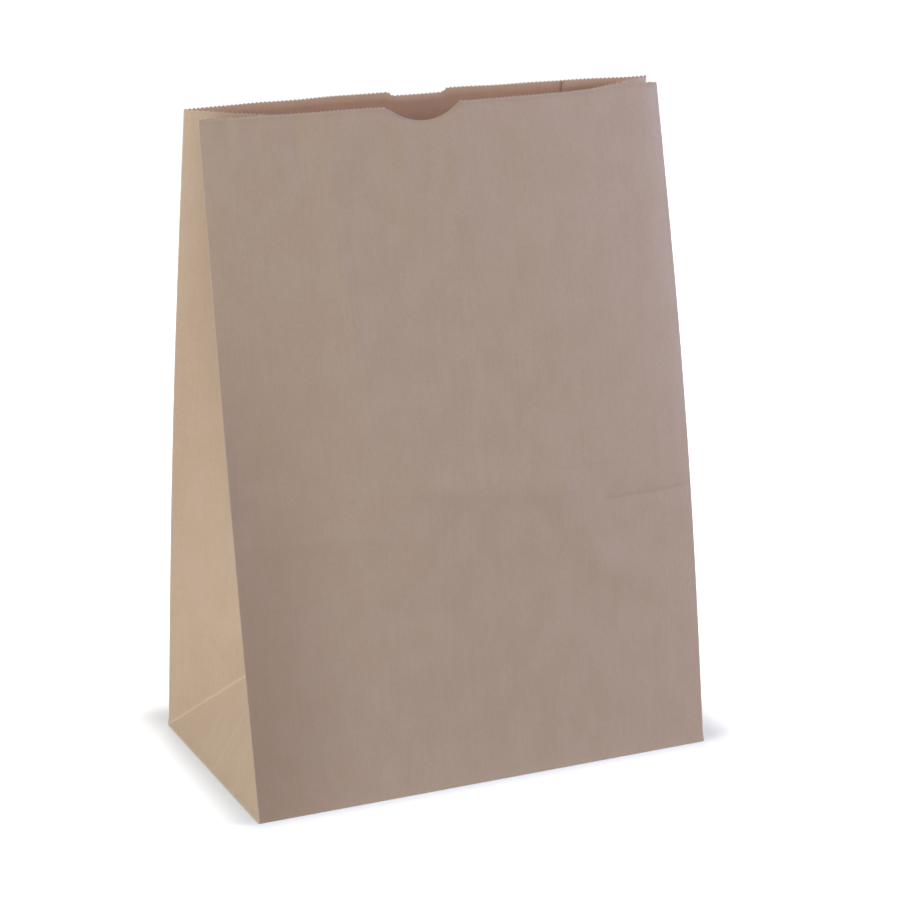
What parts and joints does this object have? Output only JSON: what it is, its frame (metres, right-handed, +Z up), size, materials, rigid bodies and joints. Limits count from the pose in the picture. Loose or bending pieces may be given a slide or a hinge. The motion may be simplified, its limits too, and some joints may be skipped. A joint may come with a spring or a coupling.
{
  "type": "brown paper bag",
  "caption": "Open brown kraft paper bag with gusseted sides, a folded and glued block bottom, a pinked mouth and a thumb notch.",
  "frame": {"origin": "middle of the base rectangle, on the surface the bag stands on", "axes": "+X along the wide panels, to the right seen from the front; -Y out of the front panel, which has the thumb notch; +Z up, out of the mouth"},
  "size_m": [0.305, 0.1671, 0.4173],
  "materials": {
    "kraft_paper": "matt natural brown kraft paper, faintly calendered"
  },
  "bodies": {
    "root": {"paper_bag": "kraft_paper"}
  },
  "joints": []
}
